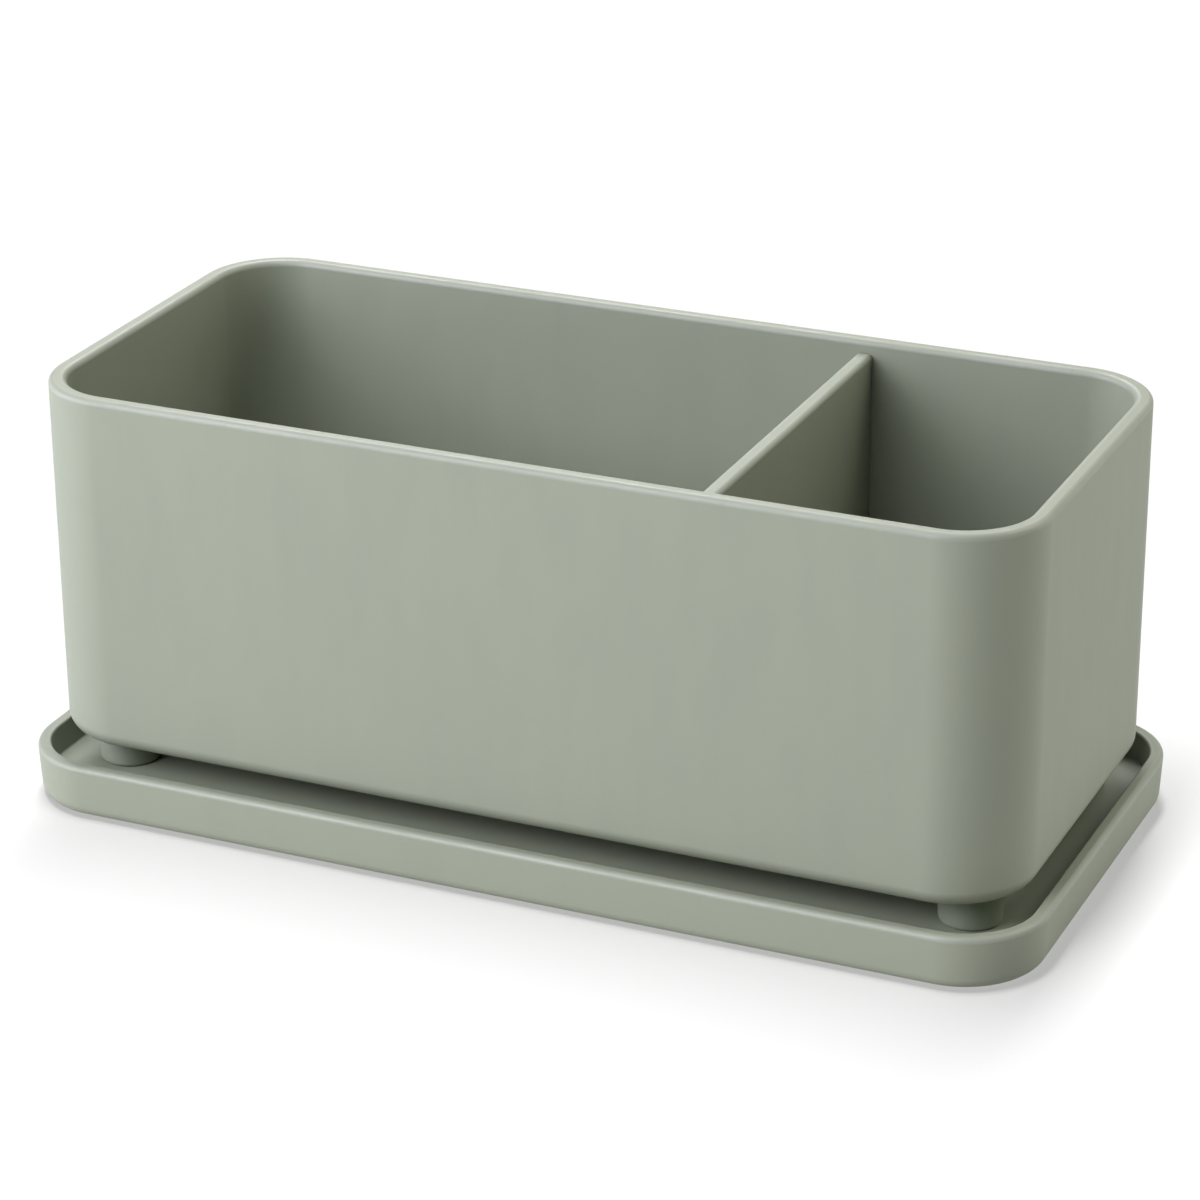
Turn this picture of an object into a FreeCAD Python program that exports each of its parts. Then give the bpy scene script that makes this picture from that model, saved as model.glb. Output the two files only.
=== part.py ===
"""Kitchen sink caddy: a moulded box on four feet with a lift-out divider, standing in a drip tray.

Lengths are in millimetres. +X runs along the caddy, +Y to its back and +Z up. The origin is on the counter,
under the middle of the tray.
"""
import FreeCAD
import Part
import Sketcher
import os

# Driving dimensions. Outlines are measured at the rim, where each wall is widest.
SIZES = {
    # Moulded box
    "body_length": 240.0,
    "body_depth": 110.0,
    "body_height": 87.3,
    "body_corner_radius": 20.0,
    "body_wall": 4.2,
    "body_floor": 3.2,
    "body_draft": 0.2,
    "body_base_round": 4.2,
    "body_floor_round": 2.5,
    "rim_outer_round": 1.4,
    "rim_inner_round": 1.4,
    # Drain slots through the floor of the box
    "drain_width": 4.0,
    "drain_length": 44.0,
    "drain_count_large": 8,
    "drain_count_small": 3,
    # Lift-out divider and the two floor ribs that hold its lower edge
    "small_compartment": 67.5,
    "divider_thickness": 4.0,
    "divider_drop": 3.0,
    "divider_top_round": 1.2,
    "divider_end_round": 0.5,
    "divider_clearance": 0.3,
    "rib_height": 6.0,
    "rib_thickness": 2.4,
    "rib_length": 78.0,
    "rib_round": 0.8,
    # Feet, pushed over studs under the box
    "foot_diameter": 15.0,
    "foot_height": 9.8,
    "foot_taper": 0.3,
    "foot_base_round": 1.0,
    "foot_inset_x": 14.4,
    "foot_inset_y": 18.0,
    "stud_diameter": 8.0,
    "stud_height": 6.0,
    "stud_lead": 0.6,
    "stud_clearance": 0.1,
    # Drip tray
    "tray_overhang_x": 5.0,
    "tray_overhang_y": 6.5,
    "tray_height": 13.0,
    "tray_wall": 3.2,
    "tray_corner_radius": 20.0,
    "tray_draft": 0.7,
    "tray_base_round": 3.0,
    "tray_floor_height": 5.8,
    "tray_floor": 2.4,
    "tray_floor_round": 0.5,
    "tray_outer_round": 1.2,
    "tray_inner_round": 0.6,
    "base_ring": 7.0,
    # Soft pads under the tray, each in a shallow round seat
    "pad_diameter": 12.0,
    "pad_proud": 0.4,
    "pad_round": 0.6,
    "pad_inset": 18.0,
    "pad_seat_depth": 0.6,
    "pad_clearance": 0.1,
    # How near an edge lies to the level that it is looked for at
    "level_tolerance": 0.01,
}

# Heights above the counter, from the pads upwards.
TRAY_FLOOR_TOP = "(sizes.pad_proud + sizes.tray_floor_height)"
BODY_BASE = f"({TRAY_FLOOR_TOP} + sizes.foot_height)"

# Outline of the tray's rim.
TRAY_LENGTH = "(sizes.body_length + 2 * sizes.tray_overhang_x)"
TRAY_DEPTH = "(sizes.body_depth + 2 * sizes.tray_overhang_y)"

# Inside of the box at its rim, and how much its walls lean in for each millimetre of depth.
INNER_LENGTH = "(sizes.body_length - 2 * sizes.body_wall)"
INNER_DEPTH = "(sizes.body_depth - 2 * sizes.body_wall)"
LEAN_SHARE = "(sizes.body_draft / sizes.body_height)"

# The divider's middle, and the two compartments that it leaves.
DIVIDER_X = f"({INNER_LENGTH} / 2 - sizes.small_compartment - sizes.divider_thickness / 2)"
LARGE_COMPARTMENT = f"({INNER_LENGTH} - sizes.small_compartment - sizes.divider_thickness)"

# Feet and pads sit at the four corners: name, then side along X and along Y.
CORNERS = (
    ("front_left", -1, -1),
    ("front_right", 1, -1),
    ("rear_left", -1, 1),
    ("rear_right", 1, 1),
)
FOOT_X = "(sizes.body_length / 2 - sizes.foot_inset_x)"
FOOT_Y = "(sizes.body_depth / 2 - sizes.foot_inset_y)"
PAD_X = f"({TRAY_LENGTH} / 2 - sizes.pad_inset)"
PAD_Y = f"({TRAY_DEPTH} / 2 - sizes.pad_inset)"

# An edge counts as upright when its rise is more than this share of its length.
UPRIGHT_SHARE = 0.9


def make_sheet(doc):
    """Writes the driving dimensions to a sheet, one named cell each."""
    sheet = doc.addObject("Spreadsheet::Sheet", "sizes")
    for row, (alias, value) in enumerate(SIZES.items(), start=1):
        sheet.set(f"A{row}", alias)
        sheet.set(f"B{row}", str(value))
        sheet.setAlias(f"B{row}", alias)
    doc.recompute()
    return sheet


def bind(item, expressions):
    """Ties properties of an object to the named sizes."""
    for name, expression in expressions.items():
        item.setExpression(name, expression)


def origin_item(body, role):
    """Finds one of the body's own origin planes or axes."""
    return next(item for item in body.Origin.OriginFeatures if item.Role == role)


def new_body(doc, label, x="0", y="0", z="0"):
    """Starts a sub-part at its place in the assembly."""
    body = doc.addObject("PartDesign::Body", label)
    body.Label = label
    bind(body, {"Placement.Base.x": x, "Placement.Base.y": y, "Placement.Base.z": z})
    return body


def new_sketch(body, name, role="XY_Plane", offset="0"):
    """Adds a sketch on one of the body's origin planes, or a stated distance off it."""
    sketch = body.newObject("Sketcher::SketchObject", name)
    sketch.AttachmentSupport = (origin_item(body, role), [""])
    sketch.MapMode = "FlatFace"
    bind(sketch, {"AttachmentOffset.Base.z": offset})
    return sketch


def dimension(sketch, kind, where, name, expression):
    """Adds a named dimension to a sketch and ties it to the sizes."""
    start_value = 1.0
    index = sketch.addConstraint(Sketcher.Constraint(kind, *where, start_value))
    sketch.renameConstraint(index, name)
    sketch.setExpression(f"Constraints.{name}", expression)


def draw_rectangle(sketch, length, depth, x="0"):
    """Draws a rectangle, centred a stated way along X from the sketch's origin."""
    corners = [FreeCAD.Vector(along, across, 0) for along, across in ((-1, -1), (1, -1), (1, 1), (-1, 1))]
    for start, end in zip(corners, corners[1:] + corners[:1]):
        sketch.addGeometry(Part.LineSegment(start, end))
    for side in range(4):
        sketch.addConstraint(Sketcher.Constraint("Coincident", side, 2, (side + 1) % 4, 1))
        sketch.addConstraint(Sketcher.Constraint(("Horizontal", "Vertical")[side % 2], side))
    dimension(sketch, "DistanceX", (0, 1, 0, 2), "length", length)
    dimension(sketch, "DistanceY", (1, 1, 1, 2), "depth", depth)
    dimension(sketch, "DistanceX", (-1, 1, 0, 1), "left_side", f"{x} - {length} / 2")
    dimension(sketch, "DistanceY", (0, 1, -1, 1), "front_side", f"{depth} / 2")


def draw_circle(sketch, name, diameter, x="0", y="0"):
    """Draws a circle whose centre lies a stated way from the sketch's origin."""
    circle = sketch.addGeometry(Part.Circle(FreeCAD.Vector(1, 1, 0), FreeCAD.Vector(0, 0, 1), 1))
    dimension(sketch, "Diameter", (circle,), f"{name}_diameter", diameter)
    dimension(sketch, "DistanceX", (-1, 1, circle, 3), f"{name}_x", x)
    dimension(sketch, "DistanceY", (-1, 1, circle, 3), f"{name}_y", y)


def draw_corner_circles(sketch, diameter, x, y):
    """Draws four equal circles, one near each corner."""
    for name, side_x, side_y in CORNERS:
        draw_circle(sketch, name, diameter, f"{side_x} * {x}", f"{side_y} * {y}")


def pad(body, name, sketch, length, taper="0", down=False):
    """Grows a sketch into a solid. A positive taper draws it in."""
    feature = body.newObject("PartDesign::Pad", name)
    feature.Profile = sketch
    feature.Reversed = down
    bind(feature, {"Length": length, "TaperAngle": f"-({taper})"})
    body.Document.recompute()
    return feature


def pocket(body, name, sketch, depth=None, taper="0", up=False):
    """Cuts a sketch into the solid, right through where no depth is given. A positive taper draws it in."""
    before = body.Shape.Volume
    feature = body.newObject("PartDesign::Pocket", name)
    feature.Profile = sketch
    feature.Reversed = up
    if depth is None:
        feature.Type = "ThroughAll"
    else:
        bind(feature, {"Length": depth, "TaperAngle": f"-({taper})"})
    body.Document.recompute()
    if feature.Shape.Volume >= before:
        raise RuntimeError(f"{name} removes nothing")
    return feature


def edges_where(shape, test):
    """Names the edges of a shape that pass a test."""
    return [f"Edge{number}" for number, edge in enumerate(shape.Edges, start=1) if test(edge)]


def is_upright(edge):
    """Tells whether an edge rises along Z."""
    return edge.BoundBox.ZLength > UPRIGHT_SHARE * edge.Length


def is_level(edge, height, tolerance):
    """Tells whether a whole edge lies at one height."""
    box = edge.BoundBox
    return abs(box.ZMin - height) < tolerance and abs(box.ZMax - height) < tolerance


def is_within(edge, half_length, half_depth):
    """Tells whether a whole edge lies inside a rectangle about the Z axis."""
    box = edge.BoundBox
    along = max(abs(box.XMin), abs(box.XMax)) < half_length
    return along and max(abs(box.YMin), abs(box.YMax)) < half_depth


def rounded(body, name, test, radius):
    """Rounds the edges of the body's last feature that pass a test."""
    base = body.Tip
    feature = body.newObject("PartDesign::Fillet", name)
    feature.Base = (base, edges_where(base.Shape, test))
    bind(feature, {"Radius": radius})
    body.Document.recompute()
    return feature


def draw_drain_slot(sketch, x):
    """Draws one round-ended slot across the box, a stated way along X."""
    end_radius = "sizes.drain_width / 2"
    left_low, left_high, right_high, right_low = (
        FreeCAD.Vector(*place) for place in ((-1, -1, 0), (-1, 1, 0), (1, 1, 0), (1, -1, 0))
    )
    rear_tip = FreeCAD.Vector(0, 2, 0)
    front_tip = FreeCAD.Vector(0, -2, 0)
    left = sketch.addGeometry(Part.LineSegment(left_low, left_high))
    rear = sketch.addGeometry(Part.Arc(right_high, rear_tip, left_high))
    right = sketch.addGeometry(Part.LineSegment(right_low, right_high))
    front = sketch.addGeometry(Part.Arc(left_low, front_tip, right_low))
    for line, line_end, arc, arc_end in (
        (left, 2, rear, 2), (right, 2, rear, 1), (left, 1, front, 1), (right, 1, front, 2)
    ):
        sketch.addConstraint(Sketcher.Constraint("Tangent", line, line_end, arc, arc_end))
    sketch.addConstraint(Sketcher.Constraint("Equal", rear, front))
    sketch.addConstraint(Sketcher.Constraint("Symmetric", rear, 3, front, 3, -1))
    dimension(sketch, "Radius", (rear,), "end_radius", end_radius)
    dimension(sketch, "DistanceX", (-1, 1, rear, 3), "slot_x", x)
    dimension(sketch, "DistanceY", (front, 3, rear, 3), "slot_run", "sizes.drain_length - sizes.drain_width")


def cut_drains(body, name, middle, run, count):
    """Cuts a row of slots through the floor, spread evenly over one compartment."""
    bay = f"({run} / {count})"
    sketch = new_sketch(body, f"{name}_outline", offset="sizes.body_floor")
    draw_drain_slot(sketch, f"{middle} - {run} / 2 + {bay} / 2")
    first = pocket(body, f"{name}_first", sketch)
    row = body.newObject("PartDesign::LinearPattern", name)
    row.Originals = [first]
    row.Direction = (origin_item(body, "X_Axis"), [""])
    bind(row, {"Length": f"{run} - {bay}", "Occurrences": count})
    body.Tip = row
    body.Document.recompute()
    return row


def make_body(doc, size):
    """The moulded box: leaning walls, rounded corners, drains, divider ribs and foot studs."""
    body = new_body(doc, "caddy_body", z=BODY_BASE)
    lean = f"atan({LEAN_SHARE})"

    rim = new_sketch(body, "rim_outline", offset="sizes.body_height")
    draw_rectangle(rim, "sizes.body_length", "sizes.body_depth")
    pad(body, "outer_block", rim, "sizes.body_height", taper=lean, down=True)
    mouth = new_sketch(body, "mouth_outline", offset="sizes.body_height")
    draw_rectangle(mouth, INNER_LENGTH, INNER_DEPTH)
    pocket(body, "inside", mouth, "sizes.body_height - sizes.body_floor", taper=lean)

    middle_of_wall = size.body_wall / 2
    half_length = size.body_length / 2 - middle_of_wall
    half_depth = size.body_depth / 2 - middle_of_wall
    rounded(
        body, "inner_corners",
        lambda edge: is_upright(edge) and is_within(edge, half_length, half_depth),
        "sizes.body_corner_radius - sizes.body_wall",
    )
    rounded(
        body, "outer_corners",
        lambda edge: is_upright(edge) and not is_within(edge, half_length, half_depth),
        "sizes.body_corner_radius",
    )
    rounded(body, "base_round", lambda edge: is_level(edge, 0, size.level_tolerance), "sizes.body_base_round")
    rounded(
        body, "inner_floor_round",
        lambda edge: is_level(edge, size.body_floor, size.level_tolerance),
        "sizes.body_floor_round",
    )
    rounded(
        body, "rim_outer_edge",
        lambda edge: is_level(edge, size.body_height, size.level_tolerance)
        and not is_within(edge, half_length, half_depth),
        "sizes.rim_outer_round",
    )
    rounded(
        body, "rim_inner_edge",
        lambda edge: is_level(edge, size.body_height, size.level_tolerance)
        and is_within(edge, half_length, half_depth),
        "sizes.rim_inner_round",
    )

    rib_top = size.body_floor + size.rib_height
    for name, side in (("left_rib", -1), ("right_rib", 1)):
        reach = "(sizes.divider_thickness / 2 + sizes.divider_clearance + sizes.rib_thickness / 2)"
        outline = new_sketch(body, f"{name}_outline", offset="sizes.body_floor")
        draw_rectangle(outline, "sizes.rib_thickness", "sizes.rib_length", f"{DIVIDER_X} + {side} * {reach}")
        pad(body, name, outline, "sizes.rib_height")
    rounded(body, "rib_edges", lambda edge: is_level(edge, rib_top, size.level_tolerance), "sizes.rib_round")

    studs = new_sketch(body, "stud_outlines")
    draw_corner_circles(studs, "sizes.stud_diameter", FOOT_X, FOOT_Y)
    pad(body, "foot_studs", studs, "sizes.stud_height", down=True)
    rounded(
        body, "stud_leads",
        lambda edge: is_level(edge, -size.stud_height, size.level_tolerance),
        "sizes.stud_lead",
    )

    large_middle = f"({LARGE_COMPARTMENT} / 2 - {INNER_LENGTH} / 2)"
    small_middle = f"({INNER_LENGTH} / 2 - sizes.small_compartment / 2)"
    cut_drains(body, "large_drains", large_middle, LARGE_COMPARTMENT, "sizes.drain_count_large")
    cut_drains(body, "small_drains", small_middle, "sizes.small_compartment", "sizes.drain_count_small")
    return body


def draw_panel(sketch, base_width, top_width, height):
    """Draws an upright panel standing on the sketch's X axis, a little wider at its top."""
    corners = [FreeCAD.Vector(across, up, 0) for across, up in ((-1, 0), (1, 0), (1, 1), (-1, 1))]
    for start, end in zip(corners, corners[1:] + corners[:1]):
        sketch.addGeometry(Part.LineSegment(start, end))
    for side in range(4):
        sketch.addConstraint(Sketcher.Constraint("Coincident", side, 2, (side + 1) % 4, 1))
    for side in (0, 2):
        sketch.addConstraint(Sketcher.Constraint("Symmetric", side, 1, side, 2, -2))
    sketch.addConstraint(Sketcher.Constraint("PointOnObject", 0, 1, -1))
    dimension(sketch, "DistanceX", (0, 1, 0, 2), "base_width", base_width)
    dimension(sketch, "DistanceX", (2, 2, 2, 1), "top_width", top_width)
    dimension(sketch, "DistanceY", (0, 2, 2, 1), "height", height)


def make_divider(doc, size):
    """The lift-out panel between the compartments: its ends lean with the walls that they stand between."""
    body = new_body(doc, "divider", DIVIDER_X, z=f"{BODY_BASE} + sizes.body_floor")
    height = "(sizes.body_height - sizes.body_floor - sizes.divider_drop)"
    room = f"{INNER_DEPTH} - 2 * sizes.divider_clearance"
    top_width = f"{room} - 2 * {LEAN_SHARE} * sizes.divider_drop"
    base_width = f"{room} - 2 * {LEAN_SHARE} * (sizes.body_height - sizes.body_floor)"
    outline = new_sketch(body, "panel_outline", "YZ_Plane", "-sizes.divider_thickness / 2")
    draw_panel(outline, base_width, top_width, height)
    pad(body, "panel", outline, "sizes.divider_thickness")

    half_thickness = size.divider_thickness / 2
    top = size.body_height - size.body_floor - size.divider_drop
    tolerance = size.level_tolerance

    def is_across(edge):
        return edge.BoundBox.XLength > half_thickness

    rounded(
        body, "base_corners",
        lambda edge: is_across(edge) and is_level(edge, 0, tolerance),
        "sizes.body_floor_round + sizes.divider_clearance",
    )
    rounded(
        body, "top_edges",
        lambda edge: not is_across(edge) and is_level(edge, top, tolerance),
        "sizes.divider_top_round",
    )
    rounded(
        body, "end_edges",
        lambda edge: not is_across(edge) and is_upright(edge) and edge.Length > top / 2,
        "sizes.divider_end_round",
    )
    return body


def make_foot(doc, size, name, side_x, side_y):
    """One round foot with a blind bore, pushed over its stud until it meets the box."""
    body = new_body(doc, f"foot_{name}", f"{side_x} * {FOOT_X}", f"{side_y} * {FOOT_Y}", TRAY_FLOOR_TOP)
    top = new_sketch(body, "top_outline", offset="sizes.foot_height")
    draw_circle(top, "foot", "sizes.foot_diameter")
    lean = "atan(sizes.foot_taper / sizes.foot_height)"
    pad(body, "foot_block", top, "sizes.foot_height", taper=lean, down=True)
    rounded(body, "base_edge", lambda edge: is_level(edge, 0, size.level_tolerance), "sizes.foot_base_round")
    bore = new_sketch(body, "bore_outline", offset="sizes.foot_height")
    draw_circle(bore, "bore", "sizes.stud_diameter + 2 * sizes.stud_clearance")
    pocket(body, "stud_bore", bore, "sizes.stud_height + sizes.stud_clearance")
    return body


def make_tray(doc, size):
    """The drip tray: a low leaning wall round a raised floor, hollow below, with seats for the pads."""
    body = new_body(doc, "drip_tray", z="sizes.pad_proud")
    lean = "atan(sizes.tray_draft / sizes.tray_height)"
    hollow_height = "(sizes.tray_floor_height - sizes.tray_floor)"
    tolerance = size.level_tolerance
    half_length = size.body_length / 2 + size.tray_overhang_x
    half_depth = size.body_depth / 2 + size.tray_overhang_y

    rim = new_sketch(body, "rim_outline", offset="sizes.tray_height")
    draw_rectangle(rim, TRAY_LENGTH, TRAY_DEPTH)
    pad(body, "outer_block", rim, "sizes.tray_height", taper=lean, down=True)
    basin = new_sketch(body, "basin_outline", offset="sizes.tray_height")
    draw_rectangle(basin, f"({TRAY_LENGTH} - 2 * sizes.tray_wall)", f"({TRAY_DEPTH} - 2 * sizes.tray_wall)")
    pocket(body, "basin", basin, "sizes.tray_height - sizes.tray_floor_height", taper=lean)
    hollow = new_sketch(body, "hollow_outline")
    draw_rectangle(hollow, f"({TRAY_LENGTH} - 2 * sizes.base_ring)", f"({TRAY_DEPTH} - 2 * sizes.base_ring)")
    pocket(body, "hollow", hollow, hollow_height, up=True)

    def in_basin(edge):
        margin = size.tray_wall / 2
        above_floor = edge.BoundBox.ZMax > size.tray_floor_height
        return above_floor and is_within(edge, half_length - margin, half_depth - margin)

    def in_hollow(edge):
        margin = (size.tray_draft + size.tray_base_round + size.base_ring) / 2
        below_floor = edge.BoundBox.ZMax < size.tray_floor_height
        return below_floor and is_within(edge, half_length - margin, half_depth - margin)

    rounded(
        body, "hollow_corners",
        lambda edge: is_upright(edge) and in_hollow(edge),
        "sizes.tray_corner_radius - sizes.base_ring",
    )
    rounded(
        body, "basin_corners",
        lambda edge: is_upright(edge) and in_basin(edge),
        "sizes.tray_corner_radius - sizes.tray_wall",
    )
    rounded(
        body, "outer_corners",
        lambda edge: is_upright(edge) and not in_basin(edge) and not in_hollow(edge),
        "sizes.tray_corner_radius",
    )
    rounded(
        body, "base_round",
        lambda edge: is_level(edge, 0, tolerance) and not in_hollow(edge),
        "sizes.tray_base_round",
    )
    rounded(
        body, "basin_floor_round",
        lambda edge: is_level(edge, size.tray_floor_height, tolerance),
        "sizes.tray_floor_round",
    )
    rounded(
        body, "rim_outer_edge",
        lambda edge: is_level(edge, size.tray_height, tolerance) and not in_basin(edge),
        "sizes.tray_outer_round",
    )
    rounded(
        body, "rim_inner_edge",
        lambda edge: is_level(edge, size.tray_height, tolerance) and in_basin(edge),
        "sizes.tray_inner_round",
    )

    seats = new_sketch(body, "seat_outlines", offset=hollow_height)
    draw_corner_circles(seats, "sizes.pad_diameter + 2 * sizes.pad_clearance", PAD_X, PAD_Y)
    pocket(body, "pad_seats", seats, "sizes.pad_seat_depth", up=True)
    return body


def make_pad(doc, size, name, side_x, side_y):
    """One soft pad, stuck in its seat and standing just proud of the tray."""
    height = "(sizes.pad_proud + sizes.tray_floor_height - sizes.tray_floor + sizes.pad_seat_depth)"
    body = new_body(doc, f"tray_pad_{name}", f"{side_x} * {PAD_X}", f"{side_y} * {PAD_Y}")
    outline = new_sketch(body, "pad_outline")
    draw_circle(outline, "pad", "sizes.pad_diameter")
    pad(body, "pad_block", outline, height)
    rounded(body, "base_edge", lambda edge: is_level(edge, 0, size.level_tolerance), "sizes.pad_round")
    return body


def check(doc, bodies):
    """Stops if any step failed or any sub-part isn't one sound solid."""
    for item in doc.Objects:
        if {"Invalid", "Error"} & set(item.State):
            raise RuntimeError(f"{item.Label} failed: {item.State}")
    for body in bodies:
        if body.Shape.isNull() or not body.Shape.isValid() or len(body.Shape.Solids) != 1:
            raise RuntimeError(f"{body.Label} isn't one sound solid")


def main():
    doc = FreeCAD.newDocument("sink_caddy")
    size = make_sheet(doc)
    bodies = [make_body(doc, size), make_divider(doc, size), make_tray(doc, size)]
    for corner in CORNERS:
        bodies.append(make_foot(doc, size, *corner))
        bodies.append(make_pad(doc, size, *corner))
    doc.recompute()
    check(doc, bodies)
    os.makedirs("parts", exist_ok=True)
    for body in bodies:
        body.Shape.exportStep(f"parts/{body.Label}.step")
        box = body.Shape.BoundBox
        print(
            f"{body.Label}: {body.Shape.Volume:.0f} mm3,"
            f" X {box.XMin:.2f} to {box.XMax:.2f},"
            f" Y {box.YMin:.2f} to {box.YMax:.2f},"
            f" Z {box.ZMin:.2f} to {box.ZMax:.2f}"
        )


main()
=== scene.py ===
"""Looks of a kitchen sink caddy: a moulded box with a lift-out divider, on four feet in a drip tray.

The caddy's sizes are named in millimetres and kept in metres. The stage and its lights are in metres.
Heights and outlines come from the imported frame.
"""
import math

import bmesh
import bpy
from mathutils import Matrix, Vector


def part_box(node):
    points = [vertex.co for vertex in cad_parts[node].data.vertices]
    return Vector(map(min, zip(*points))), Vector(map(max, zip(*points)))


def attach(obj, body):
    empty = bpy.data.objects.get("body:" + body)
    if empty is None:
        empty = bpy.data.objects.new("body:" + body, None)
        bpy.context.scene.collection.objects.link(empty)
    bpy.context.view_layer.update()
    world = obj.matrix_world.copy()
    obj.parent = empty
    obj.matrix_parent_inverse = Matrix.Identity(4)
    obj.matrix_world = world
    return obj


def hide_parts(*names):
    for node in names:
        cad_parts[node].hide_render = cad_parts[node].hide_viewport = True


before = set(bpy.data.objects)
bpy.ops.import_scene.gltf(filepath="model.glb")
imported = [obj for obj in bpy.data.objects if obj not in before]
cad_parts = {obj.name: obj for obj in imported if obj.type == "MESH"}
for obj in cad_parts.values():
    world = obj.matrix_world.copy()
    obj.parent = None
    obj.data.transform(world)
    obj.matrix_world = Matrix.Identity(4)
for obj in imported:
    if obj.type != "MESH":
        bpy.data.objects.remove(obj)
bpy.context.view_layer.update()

MM = 0.001

# Levels and outlines, read from the frame.
BOX_LOW, BOX_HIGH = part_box("caddy_body")
TRAY_LOW, TRAY_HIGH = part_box("drip_tray")
PANEL_LOW, PANEL_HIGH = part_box("divider")
FOOT_LOW, FOOT_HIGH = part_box("foot_rear_right")
PAD_LOW, PAD_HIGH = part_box("tray_pad_rear_right")
BOX_SIZE = BOX_HIGH - BOX_LOW
FOOT_RADIUS = (FOOT_HIGH.x - FOOT_LOW.x) / 2
PAD_RADIUS = (PAD_HIGH.x - PAD_LOW.x) / 2
FOOT_PLACE = (FOOT_LOW + FOOT_HIGH) / 2
PAD_PLACE = (PAD_LOW + PAD_HIGH) / 2
BOX_BASE = FOOT_HIGH.z
BOX_FLOOR = PANEL_LOW.z
TRAY_FLOOR = FOOT_LOW.z

# Moulded box. The draft is how far its walls lean out over their height.
BOX_WALL = 4.2 * MM
BOX_DRAFT = 0.2 * MM
BOX_LEAN = BOX_DRAFT / (BOX_HIGH.z - BOX_BASE)
BOX_CORNER = 20 * MM
BOX_BASE_ROUND = 4.2 * MM
BOX_FLOOR_ROUND = 2.5 * MM
RIM_OUTER_ROUND = 1.4 * MM
RIM_INNER_ROUND = 1.4 * MM

# Drain slots through its floor, spread evenly over each compartment.
SLOT_WIDTH = 4 * MM
SLOT_LENGTH = 44 * MM
SLOT_LIP = 0.5 * MM
LARGE_SLOTS = 8
SMALL_SLOTS = 3

# Ribs on the floor that hold the divider, and the divider's softened edges.
RIB_HEIGHT = 6 * MM
RIB_THICKNESS = 2.4 * MM
RIB_LENGTH = 78 * MM
RIB_ROUND = 0.8 * MM
RIB_CORNER = 1 * MM
RIB_CLEARANCE = 0.3 * MM
PANEL_TOP_ROUND = 1.2 * MM
PANEL_END_ROUND = 0.5 * MM
PANEL_BASE_ROUND = 2.8 * MM

# Feet and the studs that carry them.
FOOT_TAPER = 0.3 * MM
FOOT_BASE_ROUND = 1 * MM
FOOT_TOP_ROUND = 0.3 * MM
STUD_RADIUS = 4 * MM
STUD_LEAD = 0.6 * MM
STUD_CLEARANCE = 0.1 * MM

# Drip tray and the pads in its underside.
TRAY_OVERHANG_X = 5 * MM
TRAY_OVERHANG_Y = 6.5 * MM
TRAY_WALL = 3.2 * MM
TRAY_DRAFT = 0.7 * MM
TRAY_CORNER = 20 * MM
TRAY_BASE_ROUND = 3 * MM
TRAY_FLOOR_ROUND = 0.5 * MM
TRAY_OUTER_ROUND = 1.2 * MM
TRAY_INNER_ROUND = 0.6 * MM
TRAY_FLOOR_THICKNESS = 2.4 * MM
TRAY_RING = 7 * MM
TRAY_RING_ROUND = 0.4 * MM
PAD_ROUND = 0.6 * MM
PAD_CLEARANCE = 0.1 * MM

# How far a cutter or a piece to be joined reaches past the face it meets.
OVERRUN = 1 * MM

# A flat strip beside a round.
LAND = 0.1 * MM

# Mesh fineness: steps in a quarter turn of an outline's corner and of a rounded edge.
CORNER_STEPS = 24
ROUND_STEPS = 8
SMALL_ROUND_STEPS = 4
QUARTER_TURN = math.pi / 2
MERGE_DISTANCE = 0.001 * MM
SHARP_ANGLE = math.radians(35)

# How strongly a large face pulls the shading at its corners to its own, out of 100.
FLAT_PULL = 100

# A face of a small round, painted paler as worn by rubbing and as a painted highlight, is narrower than
# EDGE_WIDTH and turns more than EDGE_TURN.
EDGE_MARK = "worn_and_highlit_edge"
EDGE_WIDTH = 0.5 * MM
EDGE_TURN = math.radians(5)


def node(tree, kind, settings=None, inputs=None):
    """Adds a node with its settings, and sets or links its inputs, each by its name or number."""
    made = tree.nodes.new(kind)
    for name, value in (settings or {}).items():
        setattr(made, name, value)
    for key, value in (inputs or {}).items():
        if isinstance(value, bpy.types.NodeSocket):
            tree.links.new(value, made.inputs[key])
        else:
            made.inputs[key].default_value = value
    return made


def new_tree(name, inputs):
    """Starts a geometry tree with named inputs and one geometry output."""
    tree = bpy.data.node_groups.new(name, "GeometryNodeTree")
    for label, kind in inputs:
        tree.interface.new_socket(label, in_out="INPUT", socket_type="NodeSocket" + kind)
    tree.interface.new_socket("Mesh", in_out="OUTPUT", socket_type="NodeSocketGeometry")
    return tree, node(tree, "NodeGroupInput").outputs


def finish_tree(tree, shape, finish):
    """Ends a geometry tree: real geometry, in its finish."""
    real = node(tree, "GeometryNodeRealizeInstances", None, {"Geometry": shape})
    finished = node(tree, "GeometryNodeSetMaterial", None, {
        "Geometry": real.outputs[0], "Material": finish})
    node(tree, "NodeGroupOutput", None, {"Mesh": finished.outputs[0]})
    return tree


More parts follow.
